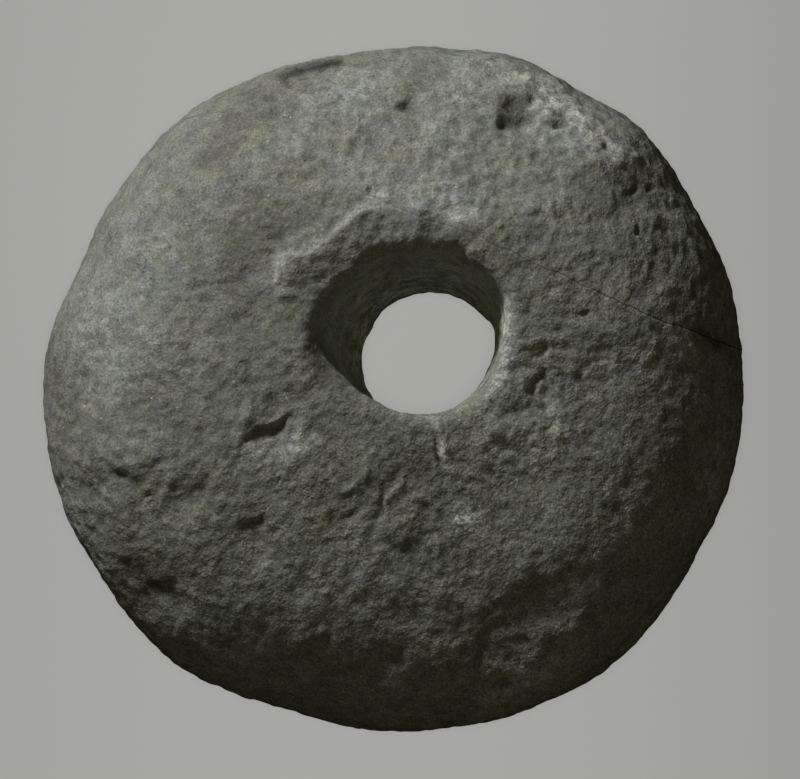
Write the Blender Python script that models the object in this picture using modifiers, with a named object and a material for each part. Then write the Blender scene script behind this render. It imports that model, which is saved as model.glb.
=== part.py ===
"""Stone spindle whorl: a thick, slightly uneven disc of stone with a slanted bore worked from both faces.

The whorl lies on a small worn flat on its underside. +X and +Y lie in its face, +Z is its upper side, and
the origin is in the middle of its bounding box, level with the flat. Lengths are in metres, angles in degrees.
"""

import math

import bpy
import numpy as np

# Overall size
LENGTH = 0.0480
WIDTH = 0.0472
THICKNESS = 0.0202
WIDEST_LEVEL = 0.48          # height of the widest girth, as a share of the thickness
CROWN_POWER = 2.9            # 2 is an ellipse, and more is flatter in the middle of each face
FLAT_LENGTH = 0.0220         # across the worn flat that the whorl lies on

# Bore: its waist is the narrowest place, and it flares towards both faces
BORE_LENGTH = 0.0092
BORE_WIDTH = 0.0084
BORE_X = 0.0024
BORE_Y = 0.0024
WAIST_LEVEL = 0.42           # height of the waist, as a share of the thickness
UPPER_FLARE_LENGTH = 0.0047  # how much longer and wider each mouth is than the waist
UPPER_FLARE_WIDTH = 0.0037
LOWER_FLARE = 0.0034
UPPER_SLANT_X = -0.0012      # how far each mouth lies from being straight above or below the waist
UPPER_SLANT_Y = 0.0017
LOWER_SLANT_X = 0.0008
LOWER_SLANT_Y = -0.0010
FLARE_POWER = 1.7
LIP_DROP = 0.0005            # worn edge round each mouth
LIP_REACH = 0.0010

# Fineness of the solid
TURN_STEPS = 112
UPPER_FACE_ROWS = 19
LOWER_FACE_ROWS = 11
WALL_ROWS = 5

# Swellings of the outline: place, half width in degrees, height as a share of the half length
OUTLINE_SWELLINGS = (
    (15, 12, 0.008),
    (46, 12, 0.031),
    (70, 10, 0.023),
    (98, 12, -0.018),
    (120, 12, -0.007),
    (142, 9, -0.016),
    (157, 11, -0.036),
    (192, 10, 0.004),
    (228, 10, 0.013),
    (251, 10, -0.017),
    (286, 8, 0.006),
    (305, 11, 0.017),
    (331, 9, -0.008),
)

# Broad unevenness of the upper face, flat-topped along the turn and rounded across it: the turn of its
# middle and its half turn in degrees, then its reach, width and height as shares of the half length.
BROAD_SWELLS = (
    ("shoulder on the left", 163, 55, 0.79, 0.21, 0.038),
    ("shoulder on the right", 327, 28, 0.80, 0.20, 0.042),
    ("dip at the top", 82, 22, 0.79, 0.21, -0.042),
    ("rise above the bore", 80, 34, 0.50, 0.21, 0.022),
    ("sink below the bore", 258, 48, 0.50, 0.21, -0.015),
)

# Swells and hollows of the upper face. Place along X and Y, length, width and height are shares of
# the half length, and the turn is that of the length from +X.
UPPER_FEATURES = (
    ("dent by the bore", -0.36, -0.12, 0.085, 0.045, 25, -0.030),
    ("lump above the dent", -0.45, -0.09, 0.030, 0.020, 50, 0.010),
    ("pitted hollow on the left", -0.76, -0.27, 0.090, 0.055, -10, -0.018),
    ("second pitted hollow", -0.58, -0.28, 0.050, 0.050, 0, -0.014),
    ("low hollow on the left", -0.42, -0.40, 0.060, 0.045, -50, -0.016),
    ("crescent hollow", -0.66, -0.58, 0.090, 0.040, -15, -0.020),
    ("pit near the top", 0.34, 0.79, 0.050, 0.045, 0, -0.026),
    ("chip beside the pit", 0.48, 0.75, 0.060, 0.030, 10, -0.014),
    ("hollow at the top", 0.04, 0.81, 0.055, 0.050, 0, -0.014),
    ("pit right of the bore", 0.42, 0.10, 0.050, 0.035, 40, -0.014),
    ("second pit right of the bore", 0.41, 0.01, 0.040, 0.055, 30, -0.016),
    ("fissure below the bore", 0.13, -0.18, 0.095, 0.022, 102, -0.020),
    ("long flute", -0.10, -0.36, 0.150, 0.035, 75, -0.016),
    ("middle flute", -0.01, -0.36, 0.110, 0.030, 72, -0.014),
    ("right flute", 0.05, -0.38, 0.095, 0.030, 74, -0.012),
    ("low hollow at the bottom", 0.06, -0.60, 0.040, 0.070, 20, -0.014),
    ("slanting hollow", 0.33, -0.60, 0.170, 0.070, 28, -0.022),
    ("ridge beside the slanting hollow", 0.05, -0.80, 0.150, 0.045, 32, 0.016),
)

# Shelf round the upper mouth: its place in degrees, its width and how far it sinks towards the bore
SHELF_MIDDLE = 116
SHELF_HALF_TURN = 50
SHELF_WIDTH = 0.0030
SHELF_DROP = 0.0007
SHELF_FADE = 30              # degrees over which each end of the shelf runs out

TOUCH = 0.001                # two places on the plain profile closer than this are the same

STONE_COLOR = (0.27, 0.265, 0.235, 1.0)
STONE_ROUGHNESS = 0.82


def ease(value):
    """Smooth step from 0 to 1 while value goes from 0 to 1."""
    value = np.clip(value, 0.0, 1.0)
    return value * value * (3.0 - 2.0 * value)


def turn_gap(turn, place):
    """Difference between two angles in degrees, from -180 to 180."""
    return (turn - place + 180.0) % 360.0 - 180.0


def ellipse_radius(turn, length, width):
    """Radius at a turn of an ellipse with this length along X and width along Y."""
    angle = np.radians(turn)
    half_length = length / 2
    half_width = width / 2
    return half_length * half_width / np.hypot(half_width * np.cos(angle), half_length * np.sin(angle))


def outline_radius(turn):
    """Rim seen from above: an ellipse with smooth swellings added."""
    swelling = np.zeros_like(turn)
    for place, half_width, height in OUTLINE_SWELLINGS:
        swelling += height * np.exp(-(turn_gap(turn, place) / half_width) ** 2)
    return ellipse_radius(turn, LENGTH, WIDTH) + swelling * LENGTH / 2


def crown(share):
    """Height of a dome, 1 at its middle and 0 at the rim, with share going from 0 to 1."""
    return np.sqrt(np.clip(1.0 - share ** CROWN_POWER, 0.0, 1.0))


def face_heights(share):
    """Heights of the upper and the lower face where share is the way out from the middle to the rim."""
    level = WIDEST_LEVEL * THICKNESS
    upper = level + (THICKNESS - level) * crown(share)
    flat_crown = crown(np.array(FLAT_LENGTH / LENGTH))
    lower = np.maximum(level - level / flat_crown * crown(share), 0.0)
    return upper, lower


def whorl_profile():
    """Closed profile for the screw, in plain numbers.

    The distance from the axis is 1 at the waist, 2 at both mouths and 3 at the rim. The height is 1 on the
    upper face, 0 at the waist and at the rim, and -1 on the lower face. It runs up the bore, out over the
    upper face, down the rim and in under the lower face.
    """
    points = []
    for row in range(WALL_ROWS):
        rise = row / WALL_ROWS
        points.append((1.0 + rise, rise))
    for row in range(UPPER_FACE_ROWS):
        points.append((2.0 + math.sin(math.pi / 2 * row / UPPER_FACE_ROWS), 1.0))
    points.append((3.0, 0.0))
    for row in reversed(range(LOWER_FACE_ROWS)):
        points.append((2.0 + math.sin(math.pi / 2 * row / LOWER_FACE_ROWS), -1.0))
    for row in reversed(range(1, WALL_ROWS)):
        rise = row / WALL_ROWS
        points.append((1.0 + rise, -rise))
    return points


def screwed_profile(name, points):
    """Mesh of a closed profile turned a full circle about Z."""
    mesh = bpy.data.meshes.new(name + "_profile")
    edges = [(index, (index + 1) % len(points)) for index in range(len(points))]
    mesh.from_pydata([(reach, 0.0, height) for reach, height in points], edges, [])
    source = bpy.data.objects.new(name + "_profile", mesh)
    bpy.context.scene.collection.objects.link(source)
    screw = source.modifiers.new("turn", "SCREW")
    screw.axis = "Z"
    screw.angle = math.tau
    screw.steps = TURN_STEPS
    screw.render_steps = TURN_STEPS
    screw.use_merge_vertices = True
    screw.merge_threshold = 0.0001
    evaluated = source.evaluated_get(bpy.context.evaluated_depsgraph_get())
    turned = bpy.data.meshes.new_from_object(evaluated)
    bpy.data.objects.remove(source)
    bpy.data.meshes.remove(mesh)
    turned.name = name
    return turned


def ring(turn, center_x, center_y, length, width):
    """Points at these turns on an ellipse round a center."""
    angle = np.radians(turn)
    reach = ellipse_radius(turn, length, width)
    return center_x + reach * np.cos(angle), center_y + reach * np.sin(angle)


def mouth_ring(turn, upper):
    """Edge of the upper or the lower mouth, seen from above."""
    above = ring(
        turn,
        BORE_X + UPPER_SLANT_X,
        BORE_Y + UPPER_SLANT_Y,
        BORE_LENGTH + UPPER_FLARE_LENGTH,
        BORE_WIDTH + UPPER_FLARE_WIDTH,
    )
    below = ring(
        turn,
        BORE_X + LOWER_SLANT_X,
        BORE_Y + LOWER_SLANT_Y,
        BORE_LENGTH + LOWER_FLARE,
        BORE_WIDTH + LOWER_FLARE,
    )
    return np.where(upper, above[0], below[0]), np.where(upper, above[1], below[1])


def blend(first, last, share):
    """Way from the first value to the last one."""
    return first + (last - first) * share


def face_height(x, y, upper):
    """Height of the face that lies over a point, before wear, from how far out it lies."""
    turn = np.degrees(np.arctan2(y, x))
    share = np.clip(np.hypot(x, y) / outline_radius(turn), 0.0, 1.0)
    above, below = face_heights(share)
    return np.where(upper, above, below), crown(share)


def lip_wear(distance, upper, turn):
    """How far the edge of a mouth is worn down, with the shelf round the upper one."""
    lip = LIP_DROP * (1.0 - np.clip(distance / LIP_REACH, 0.0, 1.0)) ** 2
    beside = SHELF_HALF_TURN - np.abs(turn_gap(turn, SHELF_MIDDLE))
    shelf = SHELF_DROP * (1.0 - np.clip(distance / SHELF_WIDTH, 0.0, 1.0))
    shelf = shelf * ease(beside / SHELF_FADE + 0.5)
    return np.where(upper, -lip - shelf, lip)


def upper_relief(x, y):
    """Swells and hollows of the upper face: broad swells round the bore, then mounds on turned axes."""
    half = LENGTH / 2
    turn = np.degrees(np.arctan2(y, x))
    out = np.hypot(x, y) / half
    height = np.zeros_like(x)
    for _name, middle, half_turn, reach, width, rise in BROAD_SWELLS:
        along = turn_gap(turn, middle) / half_turn
        across = (out - reach) / width
        height += rise * half * np.exp(-(along ** 4) - across ** 2)
    for _name, place_x, place_y, length, width, slope, rise in UPPER_FEATURES:
        angle = math.radians(slope)
        along = (x / half - place_x) * math.cos(angle) + (y / half - place_y) * math.sin(angle)
        across = (y / half - place_y) * math.cos(angle) - (x / half - place_x) * math.sin(angle)
        height += rise * half * np.exp(-((along / length) ** 2) - (across / width) ** 2)
    return height


def shaped(points):
    """Real place of each point of the screwed profile."""
    turn = np.degrees(np.arctan2(points[:, 1], points[:, 0]))
    reach = np.hypot(points[:, 0], points[:, 1])
    upper = points[:, 2] >= 0.0
    out_of_bore = np.clip(reach - 1.0, 0.0, 1.0)
    over_face = np.clip(reach - 2.0, 0.0, 1.0)

    waist_x, waist_y = ring(turn, BORE_X, BORE_Y, BORE_LENGTH, BORE_WIDTH)
    mouth_x, mouth_y = mouth_ring(turn, upper)
    rim_reach = outline_radius(turn)
    rim_x = rim_reach * np.cos(np.radians(turn))
    rim_y = rim_reach * np.sin(np.radians(turn))

    # The slant runs evenly up the bore, and the flare opens faster towards the mouth
    flare = out_of_bore ** FLARE_POWER
    slant_x = np.where(upper, UPPER_SLANT_X, LOWER_SLANT_X) * (out_of_bore - flare)
    slant_y = np.where(upper, UPPER_SLANT_Y, LOWER_SLANT_Y) * (out_of_bore - flare)
    x = blend(blend(waist_x, mouth_x, flare) + slant_x, rim_x, over_face)
    y = blend(blend(waist_y, mouth_y, flare) + slant_y, rim_y, over_face)

    on_face = reach >= 2.0 - TOUCH
    face_x = np.where(on_face, x, mouth_x)
    face_y = np.where(on_face, y, mouth_y)
    height, steepness = face_height(face_x, face_y, upper)
    from_mouth = np.hypot(face_x - mouth_x, face_y - mouth_y)
    relief = upper_relief(face_x, face_y) * ease(2.0 * steepness)
    height = height + lip_wear(from_mouth, upper, turn) + np.where(upper, relief, 0.0)

    waist = WAIST_LEVEL * THICKNESS
    height = np.where(on_face, height, blend(waist, height, out_of_bore))
    return np.column_stack((x, y, height))


def stone_material():
    """Grey stone, matt."""
    material = bpy.data.materials.new("worn_stone")
    material.use_nodes = True
    surface = material.node_tree.nodes["Principled BSDF"]
    surface.inputs["Base Color"].default_value = STONE_COLOR
    surface.inputs["Roughness"].default_value = STONE_ROUGHNESS
    surface.inputs["Metallic"].default_value = 0.0
    return material


def build_whorl(collection):
    """The stone, centered over the origin with its flat at the bottom."""
    mesh = screwed_profile("whorl", whorl_profile())
    points = np.empty(len(mesh.vertices) * 3)
    mesh.vertices.foreach_get("co", points)
    points = shaped(points.reshape(-1, 3))
    middle = (points.min(axis=0) + points.max(axis=0)) / 2
    points -= (middle[0], middle[1], points[:, 2].min())
    mesh.vertices.foreach_set("co", points.ravel())
    mesh.update()
    mesh.shade_smooth()
    mesh.materials.append(stone_material())
    whorl = bpy.data.objects.new("whorl", mesh)
    collection.objects.link(whorl)
    return whorl


def main():
    for old in list(bpy.data.objects):
        bpy.data.objects.remove(old, do_unlink=True)
    collection = bpy.data.collections.new("stone_spindle_whorl")
    bpy.context.scene.collection.children.link(collection)
    build_whorl(collection)


main()
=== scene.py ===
"""Stone spindle whorl in its worn state: the stone, a pale table, a low lamp and a camera above.

Lengths are in millimetres, with +X and +Y in the face of the whorl and +Z its upper side. They become metres
where a mesh, a lamp or the camera is made. Angles are in degrees and run from +X towards +Y.
"""

import math
from itertools import product

import bpy
import numpy as np
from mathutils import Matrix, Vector


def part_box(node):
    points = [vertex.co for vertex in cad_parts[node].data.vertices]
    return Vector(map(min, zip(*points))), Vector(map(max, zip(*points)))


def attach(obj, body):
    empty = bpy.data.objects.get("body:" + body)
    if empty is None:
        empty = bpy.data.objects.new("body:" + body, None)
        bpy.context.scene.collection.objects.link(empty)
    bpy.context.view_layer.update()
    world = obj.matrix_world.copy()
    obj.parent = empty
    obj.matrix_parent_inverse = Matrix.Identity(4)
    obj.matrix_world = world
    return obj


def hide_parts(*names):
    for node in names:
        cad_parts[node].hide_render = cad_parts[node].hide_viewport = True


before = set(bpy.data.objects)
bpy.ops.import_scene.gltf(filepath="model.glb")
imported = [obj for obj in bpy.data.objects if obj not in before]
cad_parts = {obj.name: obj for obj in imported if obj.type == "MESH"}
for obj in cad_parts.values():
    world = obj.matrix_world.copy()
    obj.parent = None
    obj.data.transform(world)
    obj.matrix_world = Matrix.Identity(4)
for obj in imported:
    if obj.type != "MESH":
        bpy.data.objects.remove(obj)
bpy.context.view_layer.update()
MM = 0.001


# The form of the stone
# The whorl is one pebble of grey stone, ground to a thick disc and bored from both faces, so that the bore
# narrows to a waist. Both faces are domed, and the lower one has a small worn flat that it lies on.

LENGTH = 48.0
WIDTH = 47.2
THICKNESS = 20.2
WIDEST_LEVEL = 0.48          # as a share of the thickness
CROWN_POWER = 2.9
FLAT_LENGTH = 22.0

WAIST = (2.4, 2.45, 9.35, 8.6)          # middle along X and Y, length and width
UPPER_MOUTH = (1.2, 4.1)               # middle
LOWER_MOUTH = (3.2, 1.4, 12.6, 11.8)
WAIST_LEVEL = 0.42
FLARE_POWER = 1.7
LIP_DROP = 0.5
LIP_REACH = 1.0
SOFT_LIP = (186, 14, 1.0, 0.9)        # worn side of the upper lip: middle, half turn, more drop, more reach

# Place and half width in degrees, then the height
RIM_SWELLINGS = (
    (15, 12, 0.19),
    (46, 12, 0.74),
    (70, 10, 0.55),
    (98, 12, -0.43),
    (120, 12, -0.17),
    (142, 9, -0.38),
    (157, 11, -0.86),
    (192, 10, 0.10),
    (228, 10, 0.31),
    (251, 10, -0.41),
    (286, 8, 0.14),
    (305, 11, 0.41),
    (331, 9, -0.19),
    (27, 6, 0.15),
    (67, 8, 0.12),
    (174, 5, 0.15),
    (195, 6, 0.12),
    (223, 9, -0.12),
    (238, 12, 0.12),
    (316, 14, 0.10),
    (6, 5, -0.12),
    (48, 4, 0.16),
    (114, 4, -0.10),
    (150, 4, 0.16),
    (349, 6, 0.09),
)
WAIST_SWELLINGS = (
    (20, 10, 0.10),
    (45, 12, -0.10),
    (158, 14, -0.28),
    (205, 10, 0.15),
    (243, 30, 0.95),
    (285, 22, 0.30),
)

# Edge of the upper mouth, which is far from round: turn and radius round its middle
MOUTH_EDGE = (
    (0, 6.5),
    (10, 6.6),
    (18, 6.85),
    (35, 6.6),
    (50, 6.2),
    (59, 6.6),
    (68, 5.9),
    (88, 5.1),
    (106, 5.3),
    (116, 5.45),
    (128, 5.3),
    (146, 5.45),
    (156, 6.0),
    (165, 6.35),
    (172, 6.35),
    (180, 6.3),
    (190, 6.4),
    (197, 6.45),
    (204, 6.2),
    (217, 5.85),
    (229, 5.6),
    (241, 5.5),
    (254, 5.75),
    (268, 5.8),
    (281, 6.05),
    (295, 6.3),
    (310, 6.4),
    (325, 6.45),
    (340, 6.4),
)
MOUTH_EDGE_SOFTNESS = 3.0    # degrees over which its corners are rounded

# The shelf inside the crest: its middle, half turn and fade in degrees, its width and its drop
SHELF = (116, 52, 30, 3.8, 0.55)

# Where the rim is higher than its usual level: place, half width in degrees and rise
RIM_RISES = (
    (212, 28, 2.6),
    (236, 18, 1.1),
    (298, 24, 2.4),
)

# Middle and half turn in degrees, reach, width and height
BROAD_SWELLS = (
    (163, 55, 19.0, 5.0, 0.91),        # shoulder on the left
    (327, 28, 19.2, 4.8, 1.01),        # shoulder on the right
    (10, 24, 18.5, 5.5, 0.34),         # rise at the right rim
    (82, 22, 19.0, 5.0, -1.01),        # dip at the top
    (66, 50, 12.0, 5.0, 0.53),         # rise above the bore
    (258, 48, 12.0, 5.0, -0.36),       # sink below the bore
)

UPPER_COLUMNS = 680          # the upper face is twice as fine as the bore and the underside
COLUMNS = UPPER_COLUMNS // 2
UPPER_FACE_ROWS = 112
UPPER_WALL_ROWS = 18
LOWER_WALL_ROWS = 10
LOWER_FACE_ROWS = 41


def ease(value):
    """Smooth step from 0 to 1 while value goes from 0 to 1."""
    value = np.clip(value, 0.0, 1.0)
    return value * value * (3.0 - 2.0 * value)


def blend(first, last, share):
    """Way from the first value to the last one."""
    return first + (last - first) * share


def turn_gap(turn, place):
    """Difference between two angles in degrees, from -180 to 180."""
    return (turn - place + 180.0) % 360.0 - 180.0


def bell(value):
    """Rounded hump: 1 where value is 0, falling to a third where it is 1."""
    return np.exp(-value * value)


def oval(turn, length, width, swellings):
    """Radius at a turn: half length times half width over the length of the turned half axes, with
    a hump added for each swelling."""
    angle = np.radians(turn)
    half_length = length / 2
    half_width = width / 2
    radius = half_length * half_width / np.hypot(half_width * np.cos(angle), half_length * np.sin(angle))
    for place, half_turn, height in swellings:
        radius = radius + height * bell(turn_gap(turn, place) / half_turn)
    return radius


def oval_ring(turn, place, swellings):
    """Points of an oval round its own middle: the middle plus the radius along each turn."""
    middle_x, middle_y, length, width = place
    radius = oval(turn, length, width, swellings)
    return middle_x + radius * np.cos(np.radians(turn)), middle_y + radius * np.sin(np.radians(turn))


def mouth_ring(turn):
    """Points of the upper mouth's edge: its listed radii joined by straight runs, whose corners are rounded by
    taking the mean of three places."""
    turns, radii = np.array(MOUTH_EDGE).T
    radius = np.zeros_like(turn)
    for step in (-MOUTH_EDGE_SOFTNESS, 0.0, MOUTH_EDGE_SOFTNESS):
        radius += np.interp(turn + step, turns, radii, period=360.0) / 3
    angle = np.radians(turn)
    return UPPER_MOUTH[0] + radius * np.cos(angle), UPPER_MOUTH[1] + radius * np.sin(angle)


def crown(share):
    """Dome, 1 in the middle and 0 at the rim: the root of 1 less the share to the crown power."""
    return np.sqrt(np.clip(1.0 - share ** CROWN_POWER, 0.0, 1.0))


def rim_share(x, y):
    """Way out from the middle to the rim, from 0 to 1."""
    turn = np.degrees(np.arctan2(y, x))
    return np.clip(np.hypot(x, y) / oval(turn, LENGTH, WIDTH, RIM_SWELLINGS), 0.0, 1.0)


def clear_of_rim(x, y):
    """1 over a face, easing to 0 on the last steep part before the rim."""
    return ease(4.0 * crown(rim_share(x, y)))


def face_height(x, y, upper):
    """Height of a face: the level of the rim plus or minus the dome, and the lower one cut off at 0."""
    turn = np.degrees(np.arctan2(y, x))
    level = np.full_like(x, WIDEST_LEVEL * THICKNESS)
    for place, half_turn, rise in RIM_RISES:
        level += rise * bell(turn_gap(turn, place) / half_turn)
    dome = crown(rim_share(x, y))
    below = np.maximum(level - level * dome / crown(FLAT_LENGTH / LENGTH), 0.0)
    return np.where(upper, level + (THICKNESS - level) * dome, below)


def broad_swell(x, y):
    """Broad unevenness: each swell is flat-topped along its turn and rounded across it."""
    turn = np.degrees(np.arctan2(y, x))
    out = np.hypot(x, y)
    height = np.zeros_like(x)
    for middle, half_turn, reach, width, rise in BROAD_SWELLS:
        height += rise * bell((turn_gap(turn, middle) / half_turn) ** 2) * bell((out - reach) / width)
    return height


def mouth_wear(distance, upper, turn):
    """Worn lip of a mouth, a parabola that ends at its reach, and the shelf as a slope towards the bore."""
    middle, half_turn, more_drop, more_reach = SOFT_LIP
    worn = np.where(upper, bell(turn_gap(turn, middle) / half_turn), 0.0)
    reach = LIP_REACH + more_reach * worn
    lip = (LIP_DROP + more_drop * worn) * (1.0 - np.clip(distance / reach, 0.0, 1.0)) ** 2
    middle, half_turn, fade, width, drop = SHELF
    shelf = drop * (1.0 - np.clip(distance / width, 0.0, 1.0))
    shelf = shelf * ease((half_turn - np.abs(turn_gap(turn, middle))) / fade + 0.5)
    return np.where(upper, -lip - shelf, lip)


def stone_points(turn, reach, upper):
    """Skin of the plain stone. Reach is 1 at the waist, 2 at a mouth and 3 at the rim: between them a point
    runs from the waist ring to the mouth ring, opening faster towards the mouth, and on to the rim."""
    out_of_bore = np.clip(reach - 1.0, 0.0, 1.0)
    over_face = np.clip(reach - 2.0, 0.0, 1.0)
    waist_x, waist_y = oval_ring(turn, WAIST, WAIST_SWELLINGS)
    above = mouth_ring(turn)
    below = oval_ring(turn, LOWER_MOUTH, ())
    mouth_x = np.where(upper, above[0], below[0])
    mouth_y = np.where(upper, above[1], below[1])
    rim_x, rim_y = oval_ring(turn, (0.0, 0.0, LENGTH, WIDTH), RIM_SWELLINGS)

    # The slant of the bore runs evenly, and only the flare opens faster
    flare = out_of_bore ** FLARE_POWER
    slant = out_of_bore - flare
    slant_x = np.where(upper, UPPER_MOUTH[0], LOWER_MOUTH[0]) - WAIST[0]
    slant_y = np.where(upper, UPPER_MOUTH[1], LOWER_MOUTH[1]) - WAIST[1]
    x = blend(blend(waist_x, mouth_x, flare) + slant_x * slant, rim_x, over_face)
    y = blend(blend(waist_y, mouth_y, flare) + slant_y * slant, rim_y, over_face)

    on_face = reach >= 2.0
    face_x = np.where(on_face, x, mouth_x)
    face_y = np.where(on_face, y, mouth_y)
    height = face_height(face_x, face_y, upper)
    fade = ease(2.0 * crown(rim_share(face_x, face_y)))
    height += np.where(upper, broad_swell(face_x, face_y) * fade, 0.0)
    height += mouth_wear(np.hypot(face_x - mouth_x, face_y - mouth_y), upper, turn)
    height = np.where(on_face, height, blend(WAIST_LEVEL * THICKNESS, height, out_of_bore))
    return np.column_stack((x, y, height))


def even_rows(count):
    """Ways from the mouth to the rim that are evenly spaced along the arc of a dome."""
    over_face = np.sin(np.linspace(0.0, math.pi / 2, 400))
    share = blend(WAIST[2] / LENGTH, 1.0, over_face)
    steps = np.hypot(np.diff(share * LENGTH / 2), np.diff(crown(share) * THICKNESS / 2))
    arc = np.concatenate(([0.0], np.cumsum(steps)))
    return np.interp(np.linspace(0.0, arc[-1], count + 1), arc, over_face)


def stone_rows():
    """Rows of the skin as (reach, upper, columns): up the bore from its waist, out over the upper face,
    in under the lower face and up to the waist again."""
    rows = [(1.0 + row / UPPER_WALL_ROWS, True, COLUMNS) for row in range(UPPER_WALL_ROWS)]
    rows += [(2.0 + way, True, UPPER_COLUMNS) for way in even_rows(UPPER_FACE_ROWS)]
    rows += [(2.0 + way, False, COLUMNS) for way in even_rows(LOWER_FACE_ROWS)[-2::-1]]
    rows += [(1.0 + row / LOWER_WALL_ROWS, False, COLUMNS) for row in range(LOWER_WALL_ROWS - 1, 0, -1)]
    return rows


def strip(start, count, next_start, next_count):
    """Faces between two rings of points. Where one ring has twice the points, three triangles fill the
    place of each of its faces."""
    near = np.arange(min(count, next_count))
    far = (near + 1) % len(near)
    if count == next_count:
        return np.column_stack((start + near, next_start + near, next_start + far, start + far)), None
    left, middle, right = near * 2, near * 2 + 1, far * 2
    if count < next_count:
        corners = (
            (start + near, next_start + left, next_start + middle),
            (start + near, next_start + middle, start + far),
            (start + far, next_start + middle, next_start + right),
        )
    else:
        corners = (
            (start + left, next_start + near, start + middle),
            (start + middle, next_start + near, next_start + far),
            (start + middle, next_start + far, start + right),
        )
    return None, np.concatenate([np.column_stack(triple) for triple in corners])


def stone_skin():
    """Turn, reach and side of every point, and the faces between the rings. The last ring joins the first."""
    rows = stone_rows()
    turn = np.concatenate([np.arange(columns) * 360.0 / columns for _reach, _upper, columns in rows])
    reach = np.concatenate([np.full(columns, reach) for reach, _upper, columns in rows])
    upper = np.concatenate([np.full(columns, upper) for _reach, upper, columns in rows])
    counts = [columns for _reach, _upper, columns in rows]
    starts = np.concatenate(([0], np.cumsum(counts)[:-1]))
    quads = []
    triangles = []
    for row, count in enumerate(counts):
        after = (row + 1) % len(rows)
        four, three = strip(starts[row], count, starts[after], counts[after])
        if four is None:
            triangles.append(three)
        else:
            quads.append(four)
    return turn, reach, upper, np.concatenate(quads), np.concatenate(triangles)


def point_normals(points, quads, triangles):
    """Normal at each point: the sum of its faces' normals, from a quad's crossed diagonals."""
    normals = np.zeros_like(points)
    across = np.cross(points[quads[:, 2]] - points[quads[:, 0]], points[quads[:, 3]] - points[quads[:, 1]])
    for corner in range(4):
        np.add.at(normals, quads[:, corner], across)
    side = points[triangles[:, 1]] - points[triangles[:, 0]]
    across = np.cross(side, points[triangles[:, 2]] - points[triangles[:, 0]])
    for corner in range(3):
        np.add.at(normals, triangles[:, corner], across)
    return normals / np.linalg.norm(normals, axis=1)[:, None]


# The wear of the stone
# Use and burial have left dents, pits and flutes in the upper face, a low crest where the wide mouth of the
# bore was pecked out, and a rough grain everywhere. All of it is relief along the normals of the plain skin.

# Each mark: place along X and Y, length, width, turn of the length, height
BORE_MARKS = (
    (-10.4, -2.3, 0.9, 0.8, 70, 0.18),       # lump behind the dent
    (-8.3, -1.6, 1.8, 1.0, 25, -0.26),
    (-5.9, -5.2, 1.9, 1.1, -70, 0.15),       # swell below the dent
    (-6.0, 2.4, 0.9, 0.8, 70, 0.20),         # swell beside the mouth
    (-10.8, 1.1, 2.4, 0.8, 105, 0.12),
    (-9.2, 1.2, 1.3, 0.9, 70, -0.09),
    (-8.3, 9.8, 2.6, 1.0, 42, -0.22),        # trough outside the crest
    (8.6, 7.6, 1.3, 0.9, -40, -0.14),
    (1.8, 10.8, 0.6, 0.8, 0, 0.12),
    (-9.6, 6.3, 2.0, 0.7, 85, -0.08),
    (10.0, 2.4, 0.8, 0.40, 20, -0.28),       # curved groove right of the bore
    (10.2, 0.9, 0.9, 0.38, 75, -0.28),
    (9.9, -0.4, 0.7, 0.35, 40, -0.22),
    (8.6, -1.3, 1.0, 0.50, 8, -0.12),
    (9.0, 0.7, 0.9, 0.8, 60, 0.14),
    (12.8, 0.7, 0.4, 0.7, 0, -0.07),
    (10.3, -2.6, 1.6, 0.7, 55, 0.12),
    (11.3, -2.6, 1.6, 0.5, 102, 0.18),
    (7.4, -2.6, 1.8, 0.7, 45, 0.10),
    (7.8, -1.4, 0.9, 0.7, 30, -0.15),
    (9.0, -6.2, 3.0, 2.4, 60, -0.10),
    (6.0, -4.8, 1.6, 0.45, -12, 0.10),
    (6.8, -2.9, 1.7, 0.40, -10, 0.12),
    (3.5, -4.6, 1.9, 0.40, 106, 0.22),       # lumps beside the fissure
    (3.6, -7.8, 3.6, 2.8, -30, -0.26),
    (4.7, -9.0, 1.2, 0.6, 0, 0.12),
    (6.4, -10.9, 2.9, 1.3, -38, 0.20),
)
LEFT_MARKS = (
    (-13.7, -7.2, 1.2, 1.0, 22, -0.18),      # pitted patch
    (-17.5, -5.2, 0.5, 0.4, 30, 0.12),
    (-12.6, -8.6, 0.7, 0.5, 10, 0.14),
    (-15.2, -6.2, 0.8, 0.4, 70, 0.12),
    (-20.8, -7.2, 0.9, 0.7, 0, -0.26),
    (-19.3, -10.2, 0.9, 0.5, -50, -0.10),
    (-17.0, -10.8, 1.4, 0.5, 20, 0.06),
    (-15.7, -8.9, 1.2, 0.9, 20, -0.12),
    (-18.8, -6.8, 1.9, 0.8, -14, -0.12),
    (-20.0, -9.2, 0.9, 0.8, 0, -0.24),
    (-18.6, -4.6, 2.0, 1.0, 0, 0.20),
    (-19.0, -2.1, 2.2, 1.7, 0, 0.12),
    (-9.4, -10.2, 1.6, 1.2, 35, -0.26),
    (-15.4, -14.3, 2.2, 1.6, -24, -0.26),    # crescent near the lower left rim
    (-21.4, 1.1, 1.5, 1.4, 0, -0.16),        # hollows along the left rim
    (-22.2, -2.2, 1.9, 1.0, 80, -0.16),
    (-12.1, 9.8, 3.2, 1.4, 98, 0.15),
    (-13.2, 6.0, 2.2, 0.8, 82, -0.12),
    (-16.7, 11.1, 2.0, 1.5, 20, -0.14),
    (-8.1, -12.8, 1.2, 1.2, 0, 0.08),
    (-5.7, -13.2, 0.9, 0.9, 0, -0.10),
    (-5.0, -14.3, 1.2, 0.9, 40, 0.14),
    (-6.5, -16.9, 1.6, 1.3, 30, 0.18),
    (-13.0, -14.5, 1.2, 1.0, -30, 0.12),
)
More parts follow.
